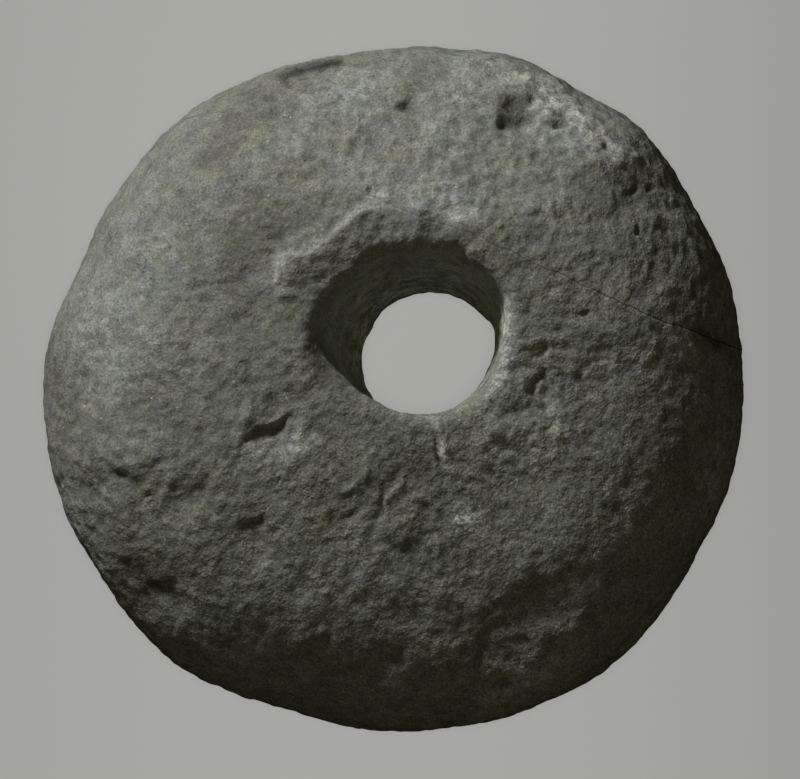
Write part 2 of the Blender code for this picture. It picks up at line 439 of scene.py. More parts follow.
TOP_MARKS = (
    (-6.4, 19.9, 2.0, 0.9, 26, -0.20),       # hollow by the split slab
    (-7.8, 18.0, 1.2, 1.0, 20, -0.22),
    (-12.3, 15.3, 2.6, 1.4, -22, -0.24),
    (-6.0, 14.2, 1.5, 0.7, 5, -0.14),
    (-5.2, 16.5, 0.9, 0.8, 0, -0.12),
    (1.0, 19.0, 1.0, 1.2, 0, -0.30),         # bowl in the middle of the top
    (1.9, 20.4, 1.3, 0.8, 70, -0.16),
    (1.8, 16.3, 1.5, 1.1, -10, -0.14),
    (3.4, 15.6, 1.4, 0.7, -25, -0.14),
    (3.8, 13.3, 1.6, 0.9, -10, -0.10),
    (-1.1, 18.7, 2.0, 1.9, 20, 0.18),
    (0.2, 20.7, 1.2, 1.2, 0, 0.12),
    (8.9, 18.3, 1.3, 1.4, 0, -0.45),         # deep pit and its chipped edge
    (7.3, 20.4, 1.4, 1.0, 0, 0.25),
    (10.9, 18.5, 1.4, 1.0, -20, 0.30),
    (13.4, 16.7, 2.2, 1.4, 105, 0.28),
    (15.9, 15.6, 1.1, 1.1, 0, 0.25),
    (17.6, 11.3, 0.5, 0.35, 60, 0.16),
    (17.4, 8.5, 0.5, 0.35, 70, 0.16),
    (18.0, 6.6, 0.6, 0.35, 100, 0.14),
    (14.4, 14.6, 1.2, 1.0, 30, 0.18),
    (14.6, 11.6, 3.0, 2.4, 0, 0.20),         # swell at the upper right
    (17.3, 4.6, 4.6, 3.2, 0, 0.26),
    (16.2, 13.7, 1.1, 0.8, 120, -0.16),
    (17.8, 9.2, 1.4, 0.8, 80, -0.12),
    (17.9, 11.0, 1.3, 0.5, 100, -0.08),
    (20.4, 10.1, 2.0, 1.1, 118, 0.16),
    (12.0, 10.6, 3.2, 1.8, -15, 0.14),
    (17.0, 8.0, 1.3, 0.9, 100, -0.12),
    (18.9, 8.5, 1.2, 0.9, 90, -0.10),
)
RIGHT_MARKS = (
    (14.5, -3.4, 3.2, 3.0, 60, 0.14),
    (13.8, 0.9, 1.4, 1.0, 0, -0.10),
    (17.1, 0.8, 1.3, 0.9, 105, 0.12),
    (15.1, -3.0, 1.2, 1.0, 90, -0.08),
    (16.5, -6.2, 1.2, 1.0, 30, -0.08),
    (15.2, -8.3, 2.2, 1.0, 42, -0.12),
)
FLUTE_MARKS = (
    (-2.4, -6.2, 1.6, 0.35, 54, 0.18),
    (0.0, -6.7, 1.4, 0.50, 62, -0.14),
    (-3.0, -8.6, 1.0, 0.40, 20, -0.18),
    (-2.0, -9.0, 1.6, 0.50, 58, 0.14),
    (-0.7, -8.7, 0.9, 0.35, 78, -0.14),
    (0.2, -7.4, 1.9, 0.35, 64, 0.18),
    (1.0, -8.6, 1.8, 0.80, 65, 0.07),
    (0.1, -10.3, 0.6, 0.60, 0, 0.12),
    (-1.8, -12.6, 1.8, 0.5, 60, 0.10),
    (0.4, -13.2, 1.8, 0.5, 55, 0.08),
    (1.3, -15.3, 1.6, 0.9, 42, -0.12),
    (3.4, -14.0, 1.8, 0.6, 50, 0.10),
    (10.6, -14.4, 4.6, 2.2, 35, -0.64),      # broad slanting hollow
    (6.2, -17.4, 1.8, 1.2, 45, -0.16),
    (0.6, -19.5, 2.8, 0.9, 38, 0.26),        # ridges down to the rim
    (3.6, -18.9, 2.4, 0.8, 44, 0.10),
    (-1.8, -19.3, 3.4, 1.3, 10, -0.12),
    (10.2, -21.4, 5.0, 2.8, 28, 0.80),
    (18.0, -10.0, 4.0, 2.5, 60, 0.18),
)
MARKS = BORE_MARKS + LEFT_MARKS + TOP_MARKS + RIGHT_MARKS + FLUTE_MARKS

# Chips with a steep side towards the upper left and a floor that rises the other way: place of the deepest
# line, half length, width of the floor, turn and depth
CHIPS = (
    (-8.4, -2.7, 1.6, 3.0, 27, 0.50),        # dent left of the bore
    (-18.5, -6.1, 1.0, 0.9, -12, 0.15),
    (-16.9, -7.4, 0.5, 0.6, 60, 0.10),
    (-13.2, -6.4, 0.8, 0.9, 40, 0.04),
    (-9.6, -9.3, 0.9, 0.9, 45, 0.17),
    (-15.8, -13.8, 1.2, 1.2, -24, 0.17),
    (2.95, -4.6, 1.8, 0.4, 106, 0.20),       # fissure below the bore
    (11.3, 18.1, 0.9, 0.6, 8, 0.26),
)

# Broken pits with steep walls: place along X and Y, length, width, turn, depth
STEEP_PITS = (
    (8.5, 18.7, 1.05, 0.95, 0, 0.45),
    (9.3, 18.2, 0.60, 0.50, 0, 0.30),
    (7.5, 18.3, 0.35, 0.35, 0, 0.22),
    (9.4, 19.8, 0.30, 0.30, 0, 0.18),
    (11.2, 18.1, 0.50, 0.32, 10, 0.30),
    (0.9, 19.2, 0.50, 0.60, 0, 0.16),
    (-1.6, 13.6, 0.20, 0.30, 0, 0.24),
    (14.2, 16.4, 0.25, 0.30, 0, 0.22),
    (17.5, 13.5, 0.40, 0.25, 60, 0.16),
    (16.5, 10.8, 0.25, 0.30, 0, 0.24),
    (16.5, 13.6, 0.40, 0.30, 40, 0.20),
    (13.0, 5.0, 0.22, 0.15, 15, 0.20),
    (-8.1, -6.2, 0.08, 0.35, -10, 0.16),
    (21.4, 3.6, 0.80, 0.25, -22, 0.25),
    (22.4, 3.0, 0.50, 0.30, -30, 0.25),
)

# The crest round the upper left of the mouth: turn and radius round the middle of the mouth, and height
CREST = (
    (40, 8.1, 0.00),
    (55, 8.7, 0.10),
    (62, 8.4, 0.18),
    (76, 8.0, 0.14),
    (95, 8.1, 0.14),
    (108, 8.3, 0.22),
    (114, 8.6, 0.36),
    (121, 8.3, 0.36),
    (130, 8.25, 0.36),
    (139, 8.4, 0.36),
    (145, 8.65, 0.34),
    (147, 9.2, 0.30),
    (150, 9.8, 0.28),
    (154, 9.85, 0.28),
    (160, 9.55, 0.26),
    (165, 9.2, 0.22),
    (175, 8.9, 0.00),
)
CREST_OUTER_WIDTH = 0.44
CREST_INNER_WIDTH = 3.2
CREST_HIGHLIGHT = 0.9         # painted highlight along the crest's edge, which faces the lamp, for each millimetre of its height

# The split slab on the upper left rim: it lies a little lower than the face, behind a thin slot
SLAB_START = (-8.0, 21.2)
SLAB_END = (-3.3, 22.4)
SLAB_DROP = 0.30
SLAB_STAIN = 0.22
SLOT_WIDTH = 0.30
SLOT_DEPTH = 0.50
# the slot is painted darker, as the shade inside it
SLOT_SHADE = 0.50

# Patches of rougher or smoother grain: place along X and Y, radius and change
ROUGH_PATCHES = (
    (-8, 18, 8, 0.35),
    (10, 17, 6, 0.70),
    (19, 9, 4, 0.10),
    (-18, -8, 5, 0.40),
    (9, -2, 4, 0.50),
    (3, -8, 5, 0.30),
    (15, -12, 8, -0.35),
    (-6, -18, 8, -0.20),
    (-14, 8, 7, -0.25),
)

# Patches painted paler, partly lime crust and fresh stone and partly painted light on faces turned to the
# lamp:
# place along X and Y, length, width, turn and strength
PALE_AND_LIT_PATCHES = (
    (12.5, 18.4, 2.2, 1.6, -30, 0.60),
    (10.3, 19.6, 1.0, 0.8, 0, 0.40),
    (14.6, 16.0, 1.6, 1.0, -45, 0.40),
    (8.0, 21.5, 3.4, 1.0, -18, 0.36),
    (9.0, 18.6, 5.0, 2.4, -20, 0.20),
    (-3.0, 20.2, 2.6, 1.5, 10, 0.25),
    (0.0, 17.0, 6.0, 3.0, 0, 0.20),
    (3.5, 13.0, 4.5, 1.3, -8, 0.35),
    (4.6, 11.9, 1.0, 0.8, 0, 0.35),
    (-1.3, 12.9, 1.3, 0.7, 30, 0.30),
    (7.7, 3.9, 2.3, 0.55, 87, 1.10),         # lit lip right of the bore
    (7.1, 0.5, 1.8, 0.45, 62, 0.70),
    # painted light on the floor of the dent, which faces the lamp
    (-6.9, -3.8, 1.9, 0.9, 25, 0.55),        # floor of the dent
    (-21.5, 4.5, 2.5, 1.2, 75, 0.20),
    (-17.0, 5.0, 7.0, 4.5, 80, 0.22),
    (-20.4, -6.5, 1.4, 0.7, -20, 0.30),
    (-20.4, -9.4, 2.4, 1.0, -60, 0.35),
    (18.5, 11.5, 2.6, 1.4, 120, 0.30),
    # painted light on the lumps beside the fissure, which face the lamp
    (3.4, -4.4, 2.2, 0.38, 106, 0.80),
    (-5.8, 9.8, 1.6, 0.30, 38, 0.30),        # painted highlight on the edge of the crest, which faces the lamp
    (-8.1, 7.4, 1.2, 0.25, 85, 0.30),
    (-9.4, 7.6, 0.7, 0.25, 0, 0.40),
    # painted highlight on the nick in the lower left of the mouth, whose far side faces the lamp
    (-4.1, 1.3, 0.6, 0.20, -65, 0.50),
    (-0.8, 10.2, 1.2, 1.0, 0, 0.25),
    (4.7, -8.9, 1.5, 0.60, 8, 1.00),
    (16.4, 16.4, 1.0, 1.1, 0, 0.50),
    (4.6, 20.2, 0.8, 1.6, 0, 0.25),
    (-4.8, 13.3, 1.6, 0.6, 10, 0.15),
    (9.8, 20.8, 1.7, 0.8, -25, 0.35),
    (-18.8, 0.8, 3.5, 1.6, 0, 0.14),
    (-19.6, 4.6, 0.8, 2.0, 0, 0.12),
    (5.6, -4.8, 1.8, 0.5, -10, 0.22),
    (18.9, 6.9, 0.8, 0.9, 0, 0.25),
    (11.2, -2.5, 2.0, 0.42, 105, 0.80),
    (8.6, 0.2, 0.7, 1.2, 0, 0.25),
    (10.0, 11.4, 3.0, 1.4, -20, 0.14),
    (10.2, 3.6, 1.4, 0.8, 30, 0.20),
    (19.4, 2.3, 1.6, 0.6, -10, 0.25),
    (6.0, -1.2, 0.8, 0.6, 60, 0.40),
    (-6.4, 8.1, 1.6, 0.8, 50, 0.14),
    (-10.2, -18.3, 1.3, 0.8, 0, 0.30),
    (9.2, -6.0, 2.6, 1.6, 80, 0.22),
    (11.2, -4.0, 1.2, 0.8, 20, 0.20),
    (-2.6, -11.0, 1.4, 0.8, 60, 0.40),
    (16.6, 2.3, 3.2, 0.8, 15, 0.32),
    (11.1, -17.8, 0.9, 0.7, 40, 0.60),
    (8.2, -20.4, 2.4, 0.8, 30, 0.60),
    (-5.6, -12.4, 1.8, 0.9, 0, 0.20),
    (0.4, -19.6, 1.9, 0.8, 20, 0.25),
    (22.2, -6.0, 1.0, 3.2, -18, 0.45),
    (-22.3, -7.2, 0.6, 1.6, 20, 0.35),
    (11.6, 6.8, 1.6, 2.4, 0, 0.14),
    (-9.5, -6.0, 4.0, 2.2, -20, 0.14),
    (6.8, -3.6, 1.4, 0.6, 40, 0.25),
    (-7.5, -10.0, 0.9, 0.8, 0, 0.20),
    (-22.0, -8.4, 0.6, 1.2, 25, 0.50),
    (10.5, 13.2, 3.0, 1.6, -25, 0.16),
)

# Patches painted darker, in the same form: partly real stains and partly painted shade where a face turns from
# the lamp
STAINS_AND_SHADE = (
    (-9.4, 19.0, 2.8, 1.3, 32, -0.32),       # olive stains
    (-12.2, 16.0, 2.2, 1.2, 45, -0.25),
    (-5.4, 22.4, 3.0, 0.8, 18, -0.32),
    (-0.8, 16.4, 1.3, 1.1, 0, -0.18),
    (0.8, 19.2, 0.9, 1.1, 0, -0.32),
    (8.2, 19.0, 0.9, 1.1, 0, -0.55),
    (11.2, 18.1, 0.6, 0.4, 0, -0.40),
    (7.2, 14.5, 4.0, 0.7, 88, -0.12),
    (7.4, 8.4, 1.2, 0.9, -30, -0.26),
    (8.9, 5.4, 0.7, 0.9, 0, -0.25),
    (4.6, 10.6, 1.8, 0.6, -10, -0.20),
    (2.6, 13.6, 1.6, 0.6, 0, -0.12),
    (-9.0, 10.5, 2.6, 1.1, 42, -0.18),
    (18.8, -2.6, 3.2, 1.5, 75, -0.32),
    # painted shadow cast by the upper left of the mouth's edge into its worn lower left corner
    (-4.9, 1.6, 1.5, 0.9, -55, -0.65),
    (16.8, 13.2, 1.1, 1.0, 0, -0.65),
    (18.6, 10.4, 0.9, 1.0, 0, -0.32),
    (19.6, 8.9, 0.9, 1.2, 0, -0.30),
    (20.4, 6.0, 1.1, 1.2, 0, -0.45),
    (2.2, -5.5, 0.9, 1.9, 0, -0.32),
    (-3.2, 8.9, 1.0, 1.6, -45, -0.15),
    (3.2, -13.2, 1.2, 1.0, 0, -0.14),
    (-11.6, -2.6, 1.0, 1.0, 0, -0.14),
    (-7.7, 5.0, 1.0, 1.3, 0, -0.24),
    (-12.5, 11.5, 3.0, 2.5, 0, -0.08),
    (21.6, 3.5, 1.7, 0.8, -35, -0.60),       # loss at the end of the crack
    (17.0, -2.6, 2.4, 1.2, 60, -0.12),
    (-14.8, -12.8, 2.4, 1.6, -24, -0.22),
    (-20.9, -7.3, 1.0, 0.9, 0, -0.34),
    (-16.6, 4.9, 1.0, 0.8, 0, -0.16),
    (-0.9, -16.6, 2.2, 1.1, 20, -0.24),
    (14.5, -9.2, 2.6, 1.0, 35, -0.20),
    (11.6, -15.4, 2.4, 0.9, 50, -0.22),
    (-16.8, -12.6, 1.6, 1.2, -30, -0.26),
    (-19.6, -9.9, 0.9, 1.6, 40, -0.36),
    (-11.6, -16.5, 1.4, 1.0, 0, -0.20),
    (17.9, 7.5, 0.9, 1.6, -20, -0.30),
    (10.3, -16.7, 0.8, 1.0, 50, -0.25),
    (6.3, -19.2, 0.9, 0.6, 0, -0.20),
    (8.0, 12.9, 1.8, 0.9, 10, -0.12),
    (5.6, 10.4, 0.9, 0.9, 0, -0.16),
    (-3.0, -0.1, 0.7, 0.6, 0, -0.22),
    (-15.0, 4.7, 2.2, 0.9, 0, -0.14),
    (-10.2, 5.2, 0.8, 2.0, 0, -0.14),
    (-13.7, -5.6, 1.4, 0.9, -30, -0.16),
    (-0.6, -6.5, 0.8, 0.5, 50, -0.30),
    (-3.6, -8.8, 0.9, 0.5, 50, -0.24),
    (-10.6, 7.4, 0.8, 1.4, 20, -0.12),
    (-23.0, 1.5, 1.2, 4.0, 0, -0.14),
)

BORE_PAINTED_LIGHT = 0.9          # painted light on the shaded wall of the bore, strongest at its waist
WAIST_PAINTED_LIGHT = 1.0         # more on its narrowest ring
WAIST_FADE_POWER = 6
THINNEST_LIME = 0.3          # share of lime where the face is neither pale nor dark
# the tint also follows the painted light and shade in the tone
TINT_PER_TONE_AND_LIGHT = 2.3
HOLLOW_DEPTH = 0.12          # below the mean round it, from which a point counts as half more hollow
HOLLOW_PASSES = 6            # over which that mean is taken

# The grain is finest on the upper left and opens towards the lower right, along the way the lamp's light runs,
# and its speckle in tone, partly painted light, grows with it: its strength at both ends, the way that it
# opens and the distances along it
OPEN_GRAIN = (0.74, 1.0)
OPEN_GRAIN_WAY = (0.54, -0.84)
OPEN_GRAIN_RUN = (-10.0, 8.0)

# The hairline crack: X and Y along it
CRACK = ((-2.6, 13.6), (1.7, 11.7), (4.8, 10.8), (9.8, 8.5), (16.9, 5.2), (20.2, 4.0), (23.9, 2.6))
CRACK_OPENING = ((-3.0, -2.4, 7.0, 12.0, 19.0), (0.0, 0.35, 0.45, 0.65, 1.0))     # how open it is, by X
CRACK_SLANT = 0.91           # cosine of its slant, which turns a rise into a distance across it
CRACK_WANDER = 0.05
CRACK_WAVES = 0.9
CRACK_SEED = 31
OUT_OF_CRACK = 100.0         # offset where there is no crack

# Grain: size of the waves and height
GRAIN = ((4.5, 0.050), (2.2, 0.040), (1.1, 0.030), (0.60, 0.030))
GRAIN_SEED = 11

# Small pits all over: spacing, smallest and largest radius, depth, share of the places that hold one
SMALL_PITS = ((2.1, 0.40, 0.75, 0.030, 0.10), (0.9, 0.18, 0.36, 0.026, 0.22))
PIT_SEED = 23
CHIP_WALL = 0.40             # width of a chip's steep side
MARK_WANDER = ((1.6, 0.30), (0.8, 0.13))     # size of the noise that moves the marks' edges, and how far
CREST_WANDER = 0.2           # share of that move for the crest
CHIP_WANDER = 0.5            # and for the chips
NOISE_RMS = 0.27             # of plain gradient noise
HIDDEN_CALM = 0.75           # grain of the underside and the bore, against that of the upper face


def gradient_noise(points, size, seed):
    """Smooth noise about 1 high: each corner of a cubic lattice holds a random slope, and a point takes the
    corners' slopes times its distance, weighted by a smooth fade along each axis."""
    random = np.random.default_rng(seed)
    order = random.permutation(256)
    slopes = random.normal(size=(256, 3))
    slopes /= np.linalg.norm(slopes, axis=1)[:, None]
    place = points / size
    cell = np.floor(place).astype(int)
    inside = place - cell
    fade = inside ** 3 * (inside * (inside * 6.0 - 15.0) + 10.0)
    total = np.zeros(len(points))
    for corner in product((0, 1), repeat=3):
        x, y, z = ((cell + corner) & 255).T
        slope = slopes[order[(order[(order[x] + y) & 255] + z) & 255]]
        weight = np.prod(np.where(corner, fade, 1.0 - fade), axis=1)
        total += weight * np.sum(slope * (inside - corner), axis=1)
    return total / NOISE_RMS


def scattered_pits(points, spacing, smallest, largest, share, seed):
    """Round pits, 1 deep, in some cells of a cubic lattice: each has a random middle and radius, and is a
    bowl whose depth falls as the square of 1 less its squared distance."""
    random = np.random.default_rng(seed)
    order = random.permutation(256)
    middles = random.random((256, 3))
    radii = blend(smallest, largest, random.random(256)) * (random.random(256) < share)
    cell = np.floor(points / spacing).astype(int)
    depth = np.zeros(len(points))
    for corner in product((-1, 0, 1), repeat=3):
        x, y, z = ((cell + corner) & 255).T
        kind = order[(order[(order[x] + y) & 255] + z) & 255]
        away = points - (cell + corner + middles[kind]) * spacing
        near = np.sum(away * away, axis=1) / np.maximum(radii[kind], 0.001) ** 2
        depth = np.maximum(depth, np.clip(1.0 - near, 0.0, 1.0) ** 2)
    return depth


def turned(x, y, place_x, place_y, turn):
    """Distances from a place along and across a turned direction."""
    angle = math.radians(turn)
    away_x = x - place_x
    away_y = y - place_y
    along = away_x * math.cos(angle) + away_y * math.sin(angle)
    across = away_y * math.cos(angle) - away_x * math.sin(angle)
    return along, across


def marks_relief(x, y):
    """Sum of the marks, each a rounded mound or hollow on its own turned axes."""
    height = np.zeros_like(x)
    for place_x, place_y, length, width, turn, rise in MARKS:
        along, across = turned(x, y, place_x, place_y, turn)
        height += rise * bell(np.hypot(along / length, across / width))
    return height


def chips_depth(x, y):
    """Depth of the chips, which fall off fast on one side, and of the steep pits, whose flat floor comes from
    squaring the distance once more."""
    depth = np.zeros_like(x)
    for place_x, place_y, length, width, turn, deepest in CHIPS:
        along, across = turned(x, y, place_x, place_y, turn)
        side = np.where(across > 0.0, ease(1.0 - across / CHIP_WALL), ease(1.0 + across / width))
        depth += deepest * side * bell(np.square(along / length))
    for place_x, place_y, length, width, turn, deepest in STEEP_PITS:
        along, across = turned(x, y, place_x, place_y, turn)
        depth += deepest * bell(np.square(along / length) + np.square(across / width))
    return depth


def crest_place(x, y):
    """Way out from the crest's path, which is in polar form round the mouth, and the crest's height there."""
    away_x = x - UPPER_MOUTH[0]
    away_y = y - UPPER_MOUTH[1]
    turn = np.degrees(np.arctan2(away_y, away_x)) % 360.0
    turns, radii, heights = np.array(CREST).T
    outside = np.hypot(away_x, away_y) - np.interp(turn, turns, radii)
    return outside, np.interp(turn, turns, heights, left=0.0, right=0.0)


def crest_relief(x, y):
    """Low crest round the mouth: steep on its outer side, and an even slope down to the mouth."""
    outside, height = crest_place(x, y)
    inner_side = np.clip(1.0 + outside / CREST_INNER_WIDTH, 0.0, 1.0)
    return height * np.where(outside > 0.0, bell(outside / CREST_OUTER_WIDTH), inner_side)


def slab_place(x, y):
    """Way out from the slot's line, the share of the slot there, which deepens along it, and of the slab."""
    start = np.array(SLAB_START)
    run = np.array(SLAB_END) - start
    length = np.linalg.norm(run)
    along = ((x - start[0]) * run[0] + (y - start[1]) * run[1]) / length
    outside = ((y - start[1]) * run[0] - (x - start[0]) * run[1]) / length
    shown = ease(along / 1.2) * ease((length - along) / 0.35)
    slot = shown * bell(outside / SLOT_WIDTH) * blend(0.6, 1.0, ease(along / length))
    return outside, slot, shown * ease(outside / 0.25 + 0.5)


def slab_relief(x, y):
    """Slot along a straight line near the rim, and the slab outside it, which lies lower."""
    _outside, slot, slab = slab_place(x, y)
    return -SLAB_DROP * slab - SLOT_DEPTH * slot


def tone_and_light_of_place(x, y):
    """Sum of the pale patches and the stains, each a rounded hump on its own turned axes, of the painted
    highlight on the crest's edge and of the dark slab with the painted shade of its slot. The patches and
    stains are partly real tone and partly painted light and shade."""
    outside, height = crest_place(x, y)
    tone_and_painted_light = CREST_HIGHLIGHT * height * bell((outside - 0.2) / 0.4)
    _outside, slot, slab = slab_place(x, y)
    tone_and_painted_light -= SLOT_SHADE * slot + SLAB_STAIN * slab
    for place_x, place_y, length, width, turn, strength in PALE_AND_LIT_PATCHES + STAINS_AND_SHADE:
        along, across = turned(x, y, place_x, place_y, turn)
        tone_and_painted_light += strength * bell(np.hypot(along / length, across / width))
    return tone_and_painted_light


def crack_offset(points):
    """Distance across the face from the crack, whose line is a few straight runs moved a little by noise."""
    places, levels = np.array(CRACK).T
    line = np.interp(points[:, 0], places, levels)
    return (points[:, 1] - line) * CRACK_SLANT + CRACK_WANDER * gradient_noise(points, CRACK_WAVES, CRACK_SEED)


def roughness_of_place(x, y):
    """Strength of the grain: 1, changed by each patch's rounded hump."""
    strength = np.ones_like(x)
    for place_x, place_y, radius, change in ROUGH_PATCHES:
        strength += change * bell(np.hypot(x - place_x, y - place_y) / radius)
    return strength


def stone_relief(points, upper, reach):
    """Height of all the wear along the normal: the marks at places moved a little by noise, the crest, the
    slab, waves of grain and small pits."""
    x, y, _z = points.T
    moved_x = x.copy()
    moved_y = y.copy()
    for step, (size, move) in enumerate(MARK_WANDER):
        moved_x += move * gradient_noise(points, size, 5 + step)
        moved_y += move * gradient_noise(points, size, 7 + step)
    on_upper = np.where(upper & (reach >= 2.0), ease(2.0 * crown(rim_share(x, y))), 0.0)
    shaped = on_upper * marks_relief(moved_x, moved_y)
    shaped -= on_upper * chips_depth(blend(x, moved_x, CHIP_WANDER), blend(y, moved_y, CHIP_WANDER))
    shaped += on_upper * crest_relief(blend(x, moved_x, CREST_WANDER), blend(y, moved_y, CREST_WANDER))
    shaped += np.where(upper & (reach >= 2.0), slab_relief(moved_x, moved_y) * clear_of_rim(x, y), 0.0)

    strength = np.where(upper & (reach >= 2.0), roughness_of_place(x, y), HIDDEN_CALM)
    grain = np.zeros_like(x)
    for step, (size, height) in enumerate(GRAIN):
        grain += height * gradient_noise(points, size, GRAIN_SEED + step)
    for step, (spacing, smallest, largest, depth, share) in enumerate(SMALL_PITS):
        grain -= depth * scattered_pits(points, spacing, smallest, largest, share, PIT_SEED + step)
    return shaped + strength * grain


def fitted(points, low, high):
    """Points moved and scaled so that they just fill the box of the frame's own stone."""
    own_low = points.min(axis=0)
    own_high = points.max(axis=0)
    return low + (points - own_low) * (high - low) / (own_high - own_low)


def neighbour_mean(values, quads):
    """Mean of each point's value and those across its quads."""
    total = values.copy()
    count = np.ones_like(values)
    for corner in range(4):
        for other in range(1, 4):
            np.add.at(total, quads[:, corner], values[quads[:, (corner + other) % 4]])
            np.add.at(count, quads[:, corner], 1.0)
    return total / count


turn, reach, upper, quads, triangles = stone_skin()
points = stone_points(turn, reach, upper)
relief = stone_relief(points, upper, reach)
points = points + point_normals(points, quads, triangles) * relief[:, None]
points[:, 2] = np.maximum(points[:, 2], 0.0)
stone_low, stone_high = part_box("whorl")
points = fitted(points, np.array(stone_low) / MM, np.array(stone_high) / MM)

# How far each point lies below the mean round it, for the painted shade of the hollows
smooth_relief = relief
for _pass in range(HOLLOW_PASSES):
    smooth_relief = neighbour_mean(smooth_relief, quads)
hollow = np.clip((smooth_relief - relief) / HOLLOW_DEPTH + 0.5, 0.0, 1.0)

stone_mesh = bpy.data.meshes.new("whorl_stone")
stone_mesh.from_pydata((points * MM).tolist(), [], quads.tolist() + triangles.tolist())
stone_mesh.shade_smooth()
# Tone of the skin: real crust and stains, and painted light and shade
tone_and_painted_light = tone_and_light_of_place(points[:, 0], points[:, 1]) * clear_of_rim(points[:, 0], points[:, 1])
tone_and_painted_light = np.where(upper, tone_and_painted_light, 0.0)
upper_face = upper & (reach >= 2.0)
# Bluer tint of the lime crust, which also follows the painted light and shade
lime_and_lit_tint = np.where(upper_face, np.clip(THINNEST_LIME + TINT_PER_TONE_AND_LIGHT * tone_and_painted_light, 0.0, 1.0), 0.0)
# The bore is painted paler, as light in its shade, most of all at its waist
bore_share = np.clip(2.0 - reach, 0.0, 1.0)
tone_and_painted_light += BORE_PAINTED_LIGHT * bore_share + WAIST_PAINTED_LIGHT * bore_share ** WAIST_FADE_POWER
way_down = points[:, 0] * OPEN_GRAIN_WAY[0] + points[:, 1] * OPEN_GRAIN_WAY[1]
grain_start, grain_end = OPEN_GRAIN_RUN
open_grain = blend(*OPEN_GRAIN, ease((way_down - grain_start) / (grain_end - grain_start)))
away_from_crack = np.where(upper_face, crack_offset(points), OUT_OF_CRACK)
crack_strength = np.interp(points[:, 0], *CRACK_OPENING)
marks_on_skin = {
    "hollow": hollow,
    "tone_and_painted_light": tone_and_painted_light,
    "lime_and_lit_tint": lime_and_lit_tint,
    "crack_offset": away_from_crack,
    "crack_strength": crack_strength,
    "open_grain": open_grain,
}
for name, values in marks_on_skin.items():
    stone_mesh.attributes.new(name, "FLOAT", "POINT").data.foreach_set("value", values.astype(np.float32))
stone = bpy.data.objects.new("whorl_stone", stone_mesh)
bpy.context.scene.collection.objects.link(stone)


# The finish of the stone
# The stone is matt and grey with a faint olive cast, paler where a lime crust is left on the upper half, with
# dark and light mineral grains. A hairline crack runs from the bore to the right rim.

# The tone also holds painted light and shade: faces turned to the lamp, the crest's edge, the bore and rises
# are painted paler, and hollows, the slot, the crack and some shaded places darker.
STONE_GREY = (0.274, 0.279, 0.234)
LIME_GREY = (0.272, 0.280, 0.254)
STONE_ROUGHNESS = 0.88
STONE_SHINE = 0.3
MOTTLE_SIZE = 1.8
PATCH_SIZE = 0.8             # of the breaks within a pale patch
DARK_GRAIN_SIZE = 0.28
BRIGHT_SPECK_SPACING = 0.8
DARK_SPECK_SPACING = 0.9
CRACK_DARK = (0.02, 0.08)    # half width of the dark line, and where its edge ends
CRACK_LIT = (0.12, 0.02, 0.09)               # the lit edge beside it: distance and the same two
TINT_SIZE = 2.4
TINT_SPREAD = (0.20, 0.08, 0.45)             # of red, green and blue
BUMP_SIZE = 0.60
BUMP_HEIGHT = 0.27
BUMP_CALM_SIZE = 2.4         # of the waves in which the bump grows and fades
SPECKLE = (0.16, 2.0)        # size and strength of the speckle in tone
GRAIN_TURN = (0.6, 0.4, 0.9)                 # turns the bump off the axes


